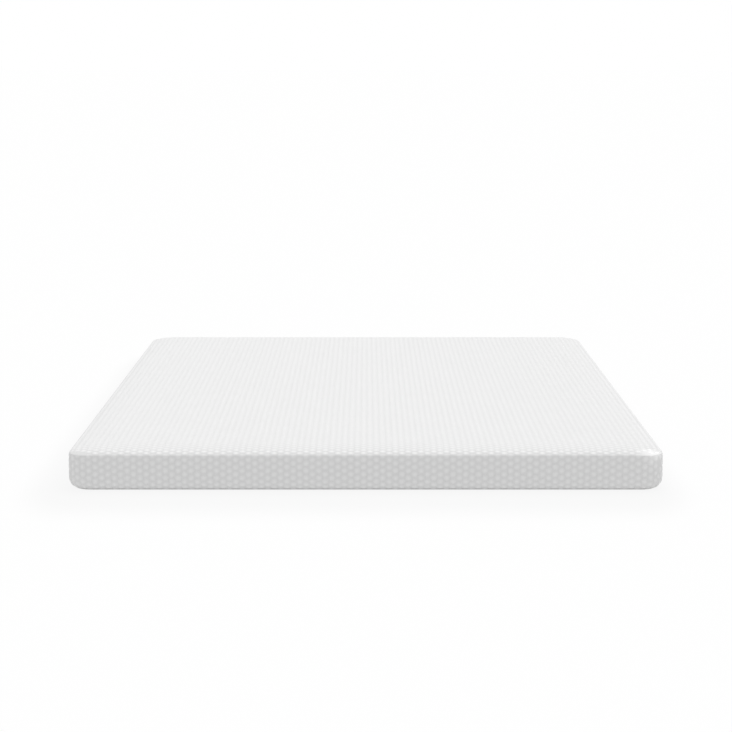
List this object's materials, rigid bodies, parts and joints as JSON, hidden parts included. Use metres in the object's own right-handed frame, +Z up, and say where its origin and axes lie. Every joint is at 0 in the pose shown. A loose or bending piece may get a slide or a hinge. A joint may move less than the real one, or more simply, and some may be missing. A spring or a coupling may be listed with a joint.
{
  "type": "mattress topper",
  "caption": "Flat rectangular mattress topper: a foam slab in a white bubble-knit cover, with rounded corners and softly rounded upper edges.",
  "frame": {"origin": "middle of the flat base, on the surface that the topper lies on", "axes": "+X across the width, +Y along the length, +Z up through the thickness, out of the sleeping face"},
  "size_m": [1.4, 2, 0.1],
  "materials": {
    "knit_cover": "matt white stretch knit raised in small round bubbles"
  },
  "bodies": {
    "root": {"topper": "knit_cover"}
  },
  "joints": []
}
